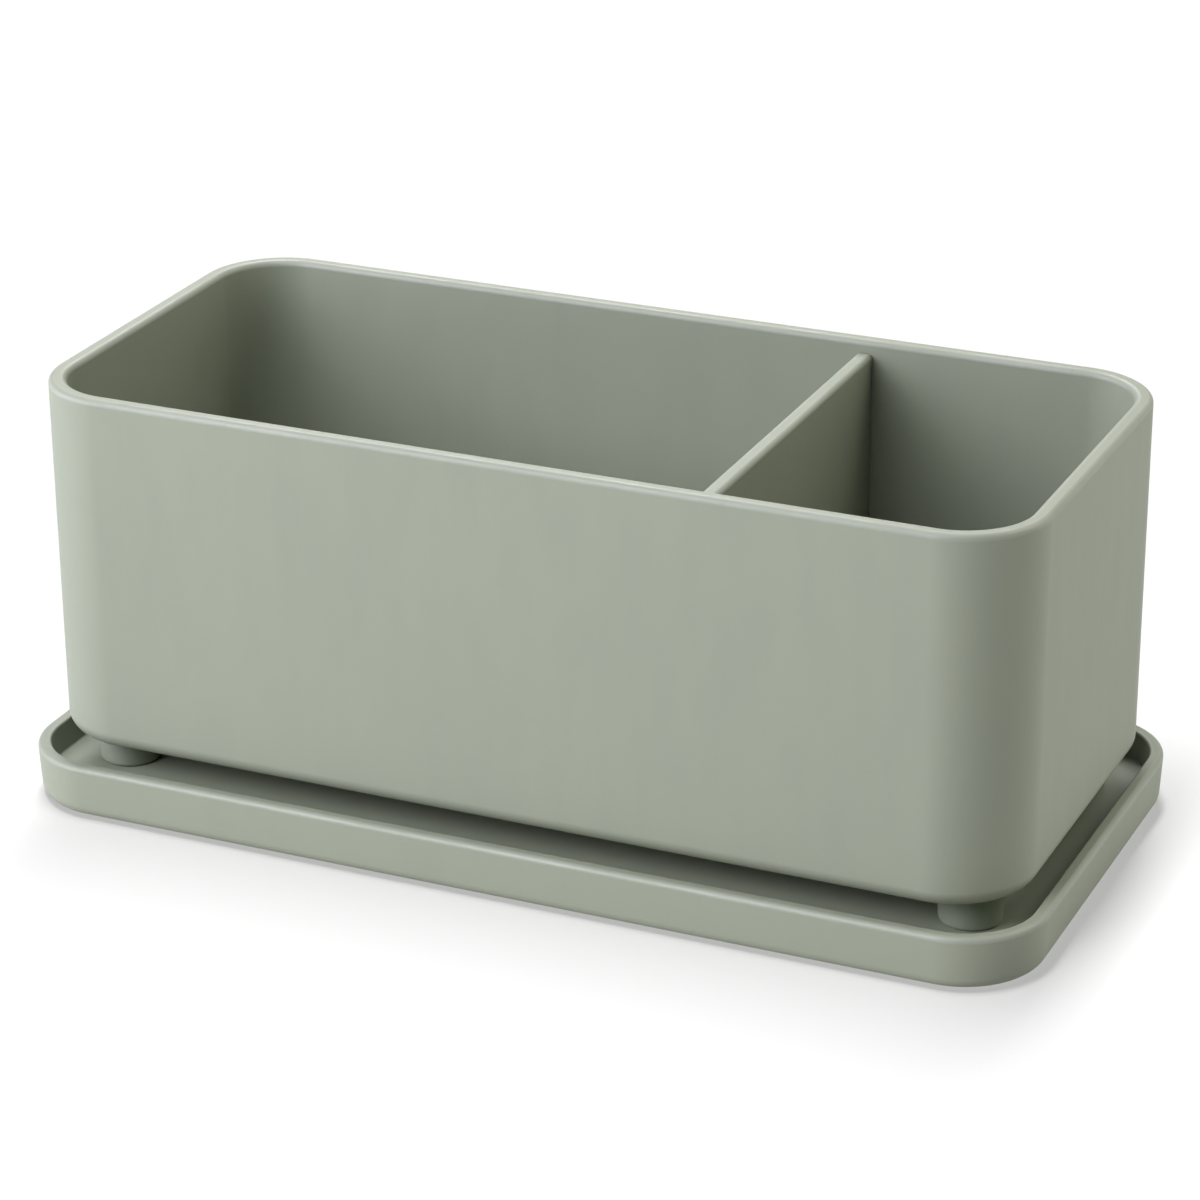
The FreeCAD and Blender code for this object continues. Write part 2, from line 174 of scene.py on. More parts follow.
def outline_tree():
    """Runs a profile round a rectangle with rounded corners.

    The profile's X is how far it stands out, its Y is its height, and a point's radius rounds it.
    """
    tree, given = new_tree("profile_round_outline", (
        ("Profile", "Geometry"), ("Length", "Float"), ("Depth", "Float"), ("Corner radius", "Float"),
        ("Corner steps", "Int"), ("Round steps", "Int"), ("Finish", "Material"),
    ))
    radius = given["Corner radius"]
    rectangle = node(tree, "GeometryNodeCurvePrimitiveQuadrilateral", None, {
        "Width": given["Length"], "Height": given["Depth"]})
    outline = node(tree, "GeometryNodeFilletCurve", {"mode": "POLY"}, {
        "Curve": rectangle.outputs[0], "Count": given["Corner steps"], "Limit Radius": True,
        "Radius": radius})
    profile = node(tree, "GeometryNodeFilletCurve", {"mode": "POLY"}, {
        "Curve": given["Profile"], "Count": given["Round steps"], "Limit Radius": True,
        "Radius": node(tree, "GeometryNodeInputRadius").outputs[0]})
    place = node(tree, "GeometryNodeInputPosition").outputs[0]
    tracks = []
    for curve, name in ((outline, "track"), (profile, "section")):
        track = node(tree, "GeometryNodeCaptureAttribute")
        track.capture_items.new("VECTOR", name)
        tree.links.new(curve.outputs[0], track.inputs[0])
        tree.links.new(place, track.inputs[1])
        tracks.append(track)
    swept = node(tree, "GeometryNodeCurveToMesh", None, {
        "Curve": tracks[0].outputs[0], "Profile Curve": tracks[1].outputs[0]})

    # The corner's centre is the track's point held inside the rectangle that the corner radius leaves.
    size = node(tree, "ShaderNodeCombineXYZ", None, {0: given["Length"], 1: given["Depth"]})
    half = node(tree, "ShaderNodeVectorMath", {"operation": "SCALE"}, {
        0: size.outputs[0], "Scale": 0.5})
    inset = node(tree, "ShaderNodeCombineXYZ", None, {0: radius, 1: radius})
    core = node(tree, "ShaderNodeVectorMath", {"operation": "SUBTRACT"}, {
        0: half.outputs[0], 1: inset.outputs[0]})
    mirrored = node(tree, "ShaderNodeVectorMath", {"operation": "SCALE"}, {
        0: core.outputs[0], "Scale": -1.0})
    below = node(tree, "ShaderNodeVectorMath", {"operation": "MINIMUM"}, {
        0: tracks[0].outputs[1], 1: core.outputs[0]})
    centre = node(tree, "ShaderNodeVectorMath", {"operation": "MAXIMUM"}, {
        0: below.outputs[0], 1: mirrored.outputs[0]})
    spoke = node(tree, "ShaderNodeVectorMath", {"operation": "SUBTRACT"}, {
        0: tracks[0].outputs[1], 1: centre.outputs[0]})
    outward = node(tree, "ShaderNodeVectorMath", {"operation": "NORMALIZE"}, {0: spoke.outputs[0]})
    section = node(tree, "ShaderNodeSeparateXYZ", None, {0: tracks[1].outputs[1]})
    reach = node(tree, "ShaderNodeMath", {"operation": "ADD"}, {0: section.outputs[0], 1: radius})
    offset = node(tree, "ShaderNodeVectorMath", {"operation": "SCALE"}, {
        0: outward.outputs[0], "Scale": reach.outputs[0]})
    rise = node(tree, "ShaderNodeCombineXYZ", None, {2: section.outputs[1]})
    flat = node(tree, "ShaderNodeVectorMath", {"operation": "ADD"}, {
        0: centre.outputs[0], 1: offset.outputs[0]})
    final = node(tree, "ShaderNodeVectorMath", {"operation": "ADD"}, {
        0: flat.outputs[0], 1: rise.outputs[0]})
    placed = node(tree, "GeometryNodeSetPosition", None, {
        "Geometry": swept.outputs[0], "Position": final.outputs[0]})
    merged = node(tree, "GeometryNodeMergeByDistance", None, {
        "Geometry": placed.outputs[0], "Distance": MERGE_DISTANCE})
    return finish_tree(tree, merged.outputs[0], given["Finish"])


def grid_tree():
    """Sets a piece out on a grid of places: a row of slots, or four feet at the corners."""
    tree, given = new_tree("set_out_on_grid", (
        ("Piece", "Geometry"), ("Centre", "Vector"), ("Length", "Float"), ("Depth", "Float"),
        ("Along", "Int"), ("Across", "Int"), ("Finish", "Material"),
    ))
    grid = node(tree, "GeometryNodeMeshGrid", None, {
        "Size X": given["Length"], "Size Y": given["Depth"],
        "Vertices X": given["Along"], "Vertices Y": given["Across"]})
    moved = node(tree, "GeometryNodeTransform", None, {
        "Geometry": grid.outputs["Mesh"], "Translation": given["Centre"]})
    pieces = node(tree, "GeometryNodeInstanceOnPoints", None, {
        "Points": moved.outputs[0], "Instance": given["Piece"]})
    return finish_tree(tree, pieces.outputs[0], given["Finish"])


OUTLINE_TREE = outline_tree()
GRID_TREE = grid_tree()


# Finishes. The sizes are those of the patterns in the real surfaces, unless a note says otherwise.
# The values that noise mostly lies between, and how many layers of finer noise a pattern has.
NOISE_LOW = 0.3
NOISE_HIGH = 0.7
SOFT_LAYERS = 1.0
PLAIN_LAYERS = 2.0
RICH_LAYERS = 3.0

# Grains. Spark-eroded and blasted moulds leave pits near 0.2 mm.
# Both are drawn coarser, because a pixel of the render covers about 0.25 mm.
GRAIN_SIZE = 0.8 * MM
GRAIN_DEPTH = 0.03 * MM
RUBBER_GRAIN_SIZE = 0.6 * MM
RUBBER_GRAIN_DEPTH = 0.03 * MM

# Plastic: streaks of the melt, drawn out upright, broad clouds, and a smooth to a dull satin.
SAGE_COOL = "#7f8576"
SAGE_WARM = "#838877"
STREAK_WIDTH = 7 * MM
STREAK_STRETCH = 0.25
CLOUD_SIZE = 40 * MM
SATIN_SMOOTH = 0.48
SATIN_DULL = 0.55
PLASTIC_IOR = 1.46

# Its edges, painted paler: partly worn by rubbing, partly a painted highlight along the rounds.
# Little to much paling as the clouds go from low to high, and how far rubbing smooths them.
SAGE_WORN_AND_HIGHLIT = "#8a8e83"
EDGE_PALING_CLOUD_LOW = 0.35
EDGE_PALING_CLOUD_HIGH = 0.65
EDGE_PALING_LITTLE = 0.3
EDGE_PALING_MUCH = 0.8
WEAR_POLISH = 0.12

# Rubber: blotches of two tones, and a dull skin.
RUBBER_DEEP = "#818877"
RUBBER_PALE = "#898f7e"
RUBBER_BLOTCH = 7 * MM
RUBBER_SMOOTH = 0.66
RUBBER_DULL = 0.76
RUBBER_IOR = 1.52

# Silicone: shallow ripples, a soft shine, and light that bleeds through it.
SILICONE_DEEP = "#d6d8d1"
SILICONE_PALE = "#e4e6e0"
SILICONE_RIPPLE = 1.5 * MM
SILICONE_DEPTH = 0.02 * MM
SILICONE_SMOOTH = 0.28
SILICONE_DULL = 0.4
SILICONE_MILK = 0.4
SILICONE_BLEED = 2 * MM
SILICONE_IOR = 1.41

# Table: its glow, even out to a distance and growing from there to the rim.
TABLE_WHITE = "#bcbcbc"
TABLE_ROUGHNESS = 0.9
TABLE_GLOW = 0.42
TABLE_RIM_GLOW = 0.92
TABLE_EVEN = 0.4
TABLE_RIM = 3.0
PURE_WHITE = "#ffffff"

# The sRGB curve: straight up to its knee, and a power above it.
SRGB_KNEE = 0.04045
SRGB_SLOPE = 12.92
SRGB_SHIFT = 0.055
SRGB_POWER = 2.4


def linear(code):
    """Turns an sRGB hex colour to the linear values that a shader takes."""
    values = []
    for part in bytes.fromhex(code[1:]):
        share = part / 255
        if share <= SRGB_KNEE:
            values.append(share / SRGB_SLOPE)
        else:
            values.append(((share + SRGB_SHIFT) / (1 + SRGB_SHIFT)) ** SRGB_POWER)
    return (*values, 1.0)


def new_material(name):
    """Starts a material and gives its tree and shader."""
    material = bpy.data.materials.new(name)
    material.use_nodes = True
    tree = material.node_tree
    return material, tree, tree.nodes["Principled BSDF"]


def moulded_polypropylene():
    """Polypropylene injected into a spark-eroded steel mould.

    The eye sees a satin skin with an even fine grain, faint upright streaks where the melt ran up the
    walls, and edges a little smoother, where the mould's grain is thin and hands rub them. The narrow
    rounds
    are painted paler too: partly worn by rubbing, partly a painted highlight.
    """
    material, tree, shader = new_material("polypropylene_moulded_spark_eroded")
    place = node(tree, "ShaderNodeTexCoord").outputs["Object"]
    flow = node(tree, "ShaderNodeMapping", None, {"Vector": place, "Scale": (1, 1, STREAK_STRETCH)})
    streaks = node(tree, "ShaderNodeTexNoise", None, {
        "Vector": flow.outputs[0], "Scale": 1 / STREAK_WIDTH, "Detail": PLAIN_LAYERS})
    clouds = node(tree, "ShaderNodeTexNoise", None, {
        "Vector": place, "Scale": 1 / CLOUD_SIZE, "Detail": RICH_LAYERS})
    grain = node(tree, "ShaderNodeTexNoise", None, {
        "Vector": place, "Scale": 1 / GRAIN_SIZE, "Detail": PLAIN_LAYERS})

    mottle = node(tree, "ShaderNodeMath", {"operation": "ADD"}, {
        0: streaks.outputs[0], 1: clouds.outputs[0]})
    shade = node(tree, "ShaderNodeMapRange", None, {
        0: mottle.outputs[0], 1: 2 * NOISE_LOW, 2: 2 * NOISE_HIGH, 3: 0.0, 4: 1.0})
    skin = node(tree, "ShaderNodeMix", {"data_type": "RGBA"}, {
        0: shade.outputs[0], 6: linear(SAGE_COOL), 7: linear(SAGE_WARM)})

    # Narrow rounds are painted paler: partly worn by rubbing, partly a painted highlight along the edge.
    edge = node(tree, "ShaderNodeAttribute", {"attribute_name": EDGE_MARK}).outputs["Fac"]
    edge_paling = node(tree, "ShaderNodeMapRange", None, {
        0: clouds.outputs[0], 1: EDGE_PALING_CLOUD_LOW, 2: EDGE_PALING_CLOUD_HIGH, 3: EDGE_PALING_LITTLE, 4: EDGE_PALING_MUCH})
    worn_and_highlit = node(tree, "ShaderNodeMath", {"operation": "MULTIPLY"}, {0: edge, 1: edge_paling.outputs[0]})
    colour = node(tree, "ShaderNodeMix", {"data_type": "RGBA"}, {
        0: worn_and_highlit.outputs[0], 6: skin.outputs[2], 7: linear(SAGE_WORN_AND_HIGHLIT)})

    satin = node(tree, "ShaderNodeMapRange", None, {
        0: streaks.outputs[0], 1: NOISE_LOW, 2: NOISE_HIGH, 3: SATIN_SMOOTH, 4: SATIN_DULL})
    rough = node(tree, "ShaderNodeMath", {"operation": "MULTIPLY_ADD"}, {
        0: worn_and_highlit.outputs[0], 1: -WEAR_POLISH, 2: satin.outputs[0]})
    pits = node(tree, "ShaderNodeBump", None, {"Height": grain.outputs[0], "Distance": GRAIN_DEPTH})
    tree.links.new(colour.outputs[2], shader.inputs["Base Color"])
    tree.links.new(rough.outputs[0], shader.inputs["Roughness"])
    tree.links.new(pits.outputs[0], shader.inputs["Normal"])
    shader.inputs["IOR"].default_value = PLASTIC_IOR
    return material


def moulded_rubber():
    """Thermoplastic rubber, moulded in a blasted mould and pigmented like the box.

    The eye sees a dull, slightly uneven skin with next to no shine.
    """
    material, tree, shader = new_material("rubber_moulded_blasted")
    place = node(tree, "ShaderNodeTexCoord").outputs["Object"]
    grain = node(tree, "ShaderNodeTexNoise", None, {
        "Vector": place, "Scale": 1 / RUBBER_GRAIN_SIZE, "Detail": RICH_LAYERS})
    blotches = node(tree, "ShaderNodeTexNoise", None, {
        "Vector": place, "Scale": 1 / RUBBER_BLOTCH, "Detail": PLAIN_LAYERS})
    colour = node(tree, "ShaderNodeMix", {"data_type": "RGBA"}, {
        0: blotches.outputs[0], 6: linear(RUBBER_DEEP), 7: linear(RUBBER_PALE)})
    dull = node(tree, "ShaderNodeMapRange", None, {
        0: grain.outputs[0], 1: NOISE_LOW, 2: NOISE_HIGH, 3: RUBBER_SMOOTH, 4: RUBBER_DULL})
    pits = node(tree, "ShaderNodeBump", None, {
        "Height": grain.outputs[0], "Distance": RUBBER_GRAIN_DEPTH})
    tree.links.new(colour.outputs[2], shader.inputs["Base Color"])
    tree.links.new(dull.outputs[0], shader.inputs["Roughness"])
    tree.links.new(pits.outputs[0], shader.inputs["Normal"])
    shader.inputs["IOR"].default_value = RUBBER_IOR
    return material


def cast_silicone():
    """Clear silicone, cast in drops that level themselves.

    The eye sees a milky, faintly rippled pad with a soft shine, lit a little from within.
    """
    material, tree, shader = new_material("silicone_cast_clear")
    place = node(tree, "ShaderNodeTexCoord").outputs["Object"]
    ripple = node(tree, "ShaderNodeTexNoise", None, {
        "Vector": place, "Scale": 1 / SILICONE_RIPPLE, "Detail": SOFT_LAYERS})
    colour = node(tree, "ShaderNodeMix", {"data_type": "RGBA"}, {
        0: ripple.outputs[0], 6: linear(SILICONE_DEEP), 7: linear(SILICONE_PALE)})
    shine = node(tree, "ShaderNodeMapRange", None, {
        0: ripple.outputs[0], 1: NOISE_LOW, 2: NOISE_HIGH, 3: SILICONE_SMOOTH, 4: SILICONE_DULL})
    dents = node(tree, "ShaderNodeBump", None, {
        "Height": ripple.outputs[0], "Distance": SILICONE_DEPTH})
    tree.links.new(colour.outputs[2], shader.inputs["Base Color"])
    tree.links.new(shine.outputs[0], shader.inputs["Roughness"])
    tree.links.new(dents.outputs[0], shader.inputs["Normal"])
    shader.inputs["IOR"].default_value = SILICONE_IOR
    shader.inputs["Subsurface Weight"].default_value = SILICONE_MILK
    shader.inputs["Subsurface Scale"].default_value = SILICONE_BLEED
    return material


def lit_table():
    """White acrylic, sand-blasted and lit from below as a product table is.

    The eye sees an even white without gloss, and thin shadows. The light below grows towards the rim, so
    the table stays white where the light from above falls off.
    """
    material, tree, shader = new_material("acrylic_blasted_lit")
    shader.inputs["Base Color"].default_value = linear(TABLE_WHITE)
    shader.inputs["Roughness"].default_value = TABLE_ROUGHNESS
    shader.inputs["Specular IOR Level"].default_value = 0.0
    shader.inputs["Emission Color"].default_value = linear(PURE_WHITE)
    place = node(tree, "ShaderNodeTexCoord").outputs["Object"]
    away = node(tree, "ShaderNodeVectorMath", {"operation": "LENGTH"}, {0: place})
    glow = node(tree, "ShaderNodeMapRange", {"interpolation_type": "SMOOTHSTEP"}, {
        0: away.outputs["Value"], 1: TABLE_EVEN, 2: TABLE_RIM, 3: TABLE_GLOW, 4: TABLE_RIM_GLOW})
    tree.links.new(glow.outputs[0], shader.inputs["Emission Strength"])
    return material


PLASTIC = moulded_polypropylene()
RUBBER = moulded_rubber()
SILICONE = cast_silicone()


def settle(piece, name):
    """Turns a piece with modifiers into a plain mesh object of that name, and removes the old one."""
    graph = bpy.context.evaluated_depsgraph_get()
    mesh = bpy.data.meshes.new_from_object(piece.evaluated_get(graph))
    bpy.data.objects.remove(piece)
    mesh.name = name
    made = bpy.data.objects.new(name, mesh)
    bpy.context.scene.collection.objects.link(made)
    return made


def grow(piece, name, tree, values):
    """Runs a geometry tree on a piece with its inputs set by name, and settles the result."""
    modifier = piece.modifiers.new(name, "NODES")
    modifier.node_group = tree
    items = tree.interface.items_tree
    sockets = {item.name: item.identifier for item in items if item.in_out == "INPUT"}
    for label, value in values.items():
        modifier[sockets[label]] = value
    return settle(piece, name)


def close_up(piece):
    """Fills open ends and turns every face outwards."""
    work = bmesh.new()
    work.from_mesh(piece.data)
    bmesh.ops.holes_fill(work, edges=[edge for edge in work.edges if edge.is_boundary], sides=0)
    bmesh.ops.recalc_face_normals(work, faces=work.faces)
    work.to_mesh(piece.data)
    work.free()
    return piece


def moulding(
    name, profile, size, corner, finish=PLASTIC, round_steps=ROUND_STEPS, corner_steps=CORNER_STEPS
):
    """Makes a closed moulding: a profile of (stand-out, height, rounding) run round a rectangle."""
    curve = bpy.data.curves.new(name, "CURVE")
    curve.dimensions = "2D"
    spline = curve.splines.new("POLY")
    spline.points.add(len(profile) - 1)
    for point, (out, height, rounding) in zip(spline.points, profile):
        point.co = (out, height, 0, 1)
        point.radius = rounding
    drawn = bpy.data.objects.new(name + "_profile", curve)
    bpy.context.scene.collection.objects.link(drawn)
    return close_up(grow(drawn, name, OUTLINE_TREE, {
        "Length": size[0], "Depth": size[1], "Corner radius": corner,
        "Corner steps": corner_steps, "Round steps": round_steps, "Finish": finish,
    }))


def row_of(piece, name, middle, length, count, finish=PLASTIC):
    """Repeats a piece in a row along X, about a middle."""
    return grow(piece, name, GRID_TREE, {
        "Centre": (middle, 0, 0), "Length": length, "Depth": 0.0, "Along": count, "Across": 1,
        "Finish": finish,
    })


def four_of(piece, name, place, finish=PLASTIC):
    """Repeats a piece at the four corners that mirror a place."""
    return grow(piece, name, GRID_TREE, {
        "Centre": (0, 0, 0), "Length": 2 * place.x, "Depth": 2 * place.y, "Along": 2, "Across": 2,
        "Finish": finish,
    })


def combine(piece, name, others):
    """Cuts the others from a piece, or joins them to it, and gives the result a name."""
    for other, operation in others:
        change = piece.modifiers.new(other.name, "BOOLEAN")
        change.object = other
        change.operation = operation
        change.solver = "EXACT"
    made = settle(piece, name)
    for other, _ in others:
        bpy.data.objects.remove(other)
    return made


def mark_edges(mesh):
    """Marks the narrow faces of small outward rounds, which the finish paints paler: worn by rubbing,
    and a painted highlight.
    """
    work = bmesh.new()
    work.from_mesh(mesh)
    mark = work.faces.layers.float.new(EDGE_MARK)
    for face in work.faces:
        width = face.calc_area() / max(edge.calc_length() for edge in face.edges)
        turn = max(edge.calc_face_angle_signed(0) for edge in face.edges)
        face[mark] = float(width < EDGE_WIDTH and turn > EDGE_TURN)
    work.to_mesh(mesh)
    work.free()


def smooth(piece, finish):
    """Shades rounds smoothly and flats truly flat, and gives the piece one finish."""
    mesh = piece.data
    mesh.materials.clear()
    mesh.materials.append(finish)
    mesh.polygons.foreach_set("material_index", [0] * len(mesh.polygons))
    mark_edges(mesh)
    mesh.shade_smooth()
    mesh.set_sharp_from_angle(angle=SHARP_ANGLE)
    weighted = piece.modifiers.new("flat_faces", "WEIGHTED_NORMAL")
    weighted.keep_sharp = True
    weighted.weight = FLAT_PULL
    return piece


def round_moulding(name, profile, radius, finish=PLASTIC):
    """Makes a round moulding, which closes at its middle."""
    return moulding(
        name, profile, (2 * radius, 2 * radius), radius, finish,
        round_steps=SMALL_ROUND_STEPS, corner_steps=ROUND_STEPS,
    )


def drain_rows():
    """Rows of slots to cut from the box's floor, one for each compartment."""
    profile = (
        (SLOT_LIP, BOX_FLOOR + OVERRUN, 0),
        (SLOT_LIP, BOX_FLOOR + LAND / 2, 0),
        (0, BOX_FLOOR + LAND / 2, SLOT_LIP),
        (0, BOX_BASE - LAND / 2, SLOT_LIP),
        (SLOT_LIP, BOX_BASE - LAND / 2, 0),
        (SLOT_LIP, BOX_BASE - OVERRUN, 0),
    )
    rows = []
    for name, left, right, count in (
        ("large_drains", BOX_LOW.x + BOX_WALL, PANEL_LOW.x, LARGE_SLOTS),
        ("small_drains", PANEL_HIGH.x, BOX_HIGH.x - BOX_WALL, SMALL_SLOTS),
    ):
        slot = moulding(
            "slot", profile, (SLOT_WIDTH, SLOT_LENGTH), SLOT_WIDTH / 2,
            round_steps=SMALL_ROUND_STEPS, corner_steps=ROUND_STEPS,
        )
        bay = (right - left) / count
        rows.append(row_of(slot, name, (left + right) / 2, right - left - bay, count))
    return rows


def divider_ribs():
    """Two ribs on the box's floor, which hold the divider's lower edge between them."""
    profile = (
        (-RIB_ROUND - LAND, BOX_FLOOR + RIB_HEIGHT, 0),
        (0, BOX_FLOOR + RIB_HEIGHT, RIB_ROUND),
        (0, BOX_FLOOR - OVERRUN, 0),
    )
    rib = moulding(
        "rib", profile, (RIB_THICKNESS, RIB_LENGTH), RIB_CORNER,
        round_steps=SMALL_ROUND_STEPS, corner_steps=SMALL_ROUND_STEPS,
    )
    middle = (PANEL_LOW.x + PANEL_HIGH.x) / 2
    spacing = PANEL_HIGH.x - PANEL_LOW.x + 2 * RIB_CLEARANCE + RIB_THICKNESS
    return row_of(rib, "divider_ribs", middle, spacing, 2)


def foot_studs():
    """Four studs under the box, which carry the feet."""
    stud = round_moulding("stud", (
        (-STUD_RADIUS, BOX_LOW.z, 0),
        (0, BOX_LOW.z, STUD_LEAD),
        (0, BOX_BASE + OVERRUN, 0),
        (-STUD_RADIUS, BOX_BASE + OVERRUN, 0),
    ), STUD_RADIUS)
    return four_of(stud, "foot_studs", FOOT_PLACE)


def make_box():
    """The moulded box with its drains, divider ribs and foot studs."""
    wall_foot = BOX_WALL + BOX_LEAN * (BOX_HIGH.z - BOX_FLOOR)
    shell = moulding("box_shell", (
        (-wall_foot - BOX_FLOOR_ROUND - LAND, BOX_FLOOR, 0),
        (-wall_foot, BOX_FLOOR, BOX_FLOOR_ROUND),
        (-BOX_WALL, BOX_HIGH.z, RIM_INNER_ROUND),
        (0, BOX_HIGH.z, RIM_OUTER_ROUND),
        (-BOX_DRAFT, BOX_BASE, BOX_BASE_ROUND),
        (-BOX_DRAFT - BOX_BASE_ROUND - LAND, BOX_BASE, 0),
    ), BOX_SIZE, BOX_CORNER)
    changes = [(row, "DIFFERENCE") for row in drain_rows()]
    changes += [(divider_ribs(), "UNION"), (foot_studs(), "UNION")]
    return smooth(combine(shell, "moulded_box", changes), PLASTIC)


def panel_outline():
    """The divider's outline seen along the box, as (across, height), with round lower corners."""
    base_half = PANEL_HIGH.y - BOX_LEAN * (PANEL_HIGH.z - PANEL_LOW.z)
    outline = [(PANEL_LOW.y, PANEL_HIGH.z)]
    for side, start in ((-1, 2 * QUARTER_TURN), (1, 3 * QUARTER_TURN)):
        for step in range(ROUND_STEPS + 1):
            angle = start + QUARTER_TURN * step / ROUND_STEPS
            across = side * (base_half - PANEL_BASE_ROUND) + PANEL_BASE_ROUND * math.cos(angle)
            outline.append((across, PANEL_LOW.z + PANEL_BASE_ROUND * (1 + math.sin(angle))))
    outline.append((PANEL_HIGH.y, PANEL_HIGH.z))
    return outline


def panel_block():
    """A slab of the divider's outline, with each edge's share of the easing kept on it."""
    outline = panel_outline()
    work = bmesh.new()
    easing = work.edges.layers.float.new("bevel_weight_edge")
    left, right = (
        [work.verts.new((x, across, up)) for across, up in outline] for x in (PANEL_LOW.x, PANEL_HIGH.x)
    )
    work.faces.new(left)
    work.faces.new(right)
    for start in range(len(outline)):
        after = (start + 1) % len(outline)
        work.faces.new((left[start], left[after], right[after], right[start]))
    # The two long top edges are eased in full, the short top edges and the upright ends less.
    for edge in work.edges:
        middle = (edge.verts[0].co + edge.verts[1].co) / 2
        run = edge.verts[0].co - edge.verts[1].co
        if middle.z > PANEL_HIGH.z - LAND and abs(run.y) > abs(run.x):
            edge[easing] = 1.0
        elif middle.z > PANEL_HIGH.z - LAND or abs(run.z) > PANEL_BASE_ROUND:
            edge[easing] = PANEL_END_ROUND / PANEL_TOP_ROUND
    bmesh.ops.recalc_face_normals(work, faces=work.faces)
    mesh = bpy.data.meshes.new("divider_block")
    work.to_mesh(mesh)
    work.free()
    block = bpy.data.objects.new("divider_block", mesh)
    bpy.context.scene.collection.objects.link(block)
    return block


def make_divider():
    """The lift-out panel: top edges soft, ends eased, lower corners round to clear the box's floor."""
    panel = panel_block()
    bevel = panel.modifiers.new("eased_edges", "BEVEL")
    bevel.limit_method = "WEIGHT"
    bevel.width = PANEL_TOP_ROUND
    bevel.segments = ROUND_STEPS
    bevel.use_clamp_overlap = False
    weld = panel.modifiers.new("welded_seams", "WELD")
    weld.merge_threshold = MERGE_DISTANCE
    return smooth(settle(panel, "lift_out_divider"), PLASTIC)


def make_feet():
    """Four round feet, each with a blind bore pushed over its stud."""
    bore = STUD_RADIUS + STUD_CLEARANCE
    foot = round_moulding("foot", (
        (-FOOT_RADIUS, FOOT_LOW.z, 0),
        (-FOOT_TAPER, FOOT_LOW.z, FOOT_BASE_ROUND),
        (0, FOOT_HIGH.z, FOOT_TOP_ROUND),
        (bore - FOOT_RADIUS, FOOT_HIGH.z, 0),
        (bore - FOOT_RADIUS, BOX_LOW.z - STUD_CLEARANCE, 0),
        (-FOOT_RADIUS, BOX_LOW.z - STUD_CLEARANCE, 0),
    ), FOOT_RADIUS, RUBBER)
    return smooth(four_of(foot, "rubber_feet", FOOT_PLACE, RUBBER), RUBBER)


def make_tray():
    """The drip tray: a low leaning wall round a raised floor, hollow below, with seats for its pads."""
    rise = TRAY_HIGH.z - TRAY_LOW.z
    wall_foot = TRAY_WALL + TRAY_DRAFT * (TRAY_HIGH.z - TRAY_FLOOR) / rise
    hollow = TRAY_FLOOR - TRAY_FLOOR_THICKNESS
    shell = moulding("tray_shell", (
        (-wall_foot - TRAY_FLOOR_ROUND - LAND, TRAY_FLOOR, 0),
        (-wall_foot, TRAY_FLOOR, TRAY_FLOOR_ROUND),
        (-TRAY_WALL, TRAY_HIGH.z, TRAY_INNER_ROUND),
        (0, TRAY_HIGH.z, TRAY_OUTER_ROUND),
        (-TRAY_DRAFT, TRAY_LOW.z, TRAY_BASE_ROUND),
        (-TRAY_RING, TRAY_LOW.z, TRAY_RING_ROUND),
        (-TRAY_RING, hollow, TRAY_RING_ROUND),
        (-TRAY_RING - TRAY_RING_ROUND - LAND, hollow, 0),
    ), (BOX_SIZE.x + 2 * TRAY_OVERHANG_X, BOX_SIZE.y + 2 * TRAY_OVERHANG_Y), TRAY_CORNER)
    seat_radius = PAD_RADIUS + PAD_CLEARANCE
    seat = round_moulding("seat", (
        (-seat_radius, PAD_HIGH.z, 0),
        (0, PAD_HIGH.z, 0),
        (0, hollow - OVERRUN, 0),
        (-seat_radius, hollow - OVERRUN, 0),
    ), seat_radius)
    seats = four_of(seat, "pad_seats", PAD_PLACE)
    return smooth(combine(shell, "moulded_tray", [(seats, "DIFFERENCE")]), PLASTIC)


def make_pads():
    """Four soft pads, stuck in their seats and standing just proud of the tray."""
    one = round_moulding("pad", (
        (-PAD_RADIUS, PAD_LOW.z, 0),
        (0, PAD_LOW.z, PAD_ROUND),
        (0, PAD_HIGH.z, 0),
        (-PAD_RADIUS, PAD_HIGH.z, 0),
    ), PAD_RADIUS, SILICONE)
    return smooth(four_of(one, "silicone_pads", PAD_PLACE, SILICONE), SILICONE)


CORNER_NAMES = ("front_left", "front_right", "rear_left", "rear_right")
PIECES = (
    (make_box, "caddy_box", "caddy_plastic", ("caddy_body",)),
    (make_divider, "divider_panel", "caddy_plastic", ("divider",)),
    (make_feet, "caddy_box", "foot_rubber", tuple("foot_" + corner for corner in CORNER_NAMES)),
    (make_tray, "tray_base", "caddy_plastic", ("drip_tray",)),
    (make_pads, "tray_base", "pad_silicone", tuple("tray_pad_" + corner for corner in CORNER_NAMES)),
)
for make, body, slot, nodes in PIECES:
    piece = make()
    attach(piece, body)
    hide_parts(*nodes)

# Camera, at the photograph's angle. Lens and sensor are in millimetres, as Blender takes them.
CAMERA_YAW = math.radians(23.925)
CAMERA_PITCH = math.radians(23.281)
CAMERA_ROLL = math.radians(-0.334)
CAMERA_DISTANCE = 943 * MM
CAMERA_LENS = 122.13
CAMERA_SENSOR = 36
AIM_HEIGHT = 60 * MM
AIM_RIGHT = 0.639 * MM
AIM_UP = -9.534 * MM


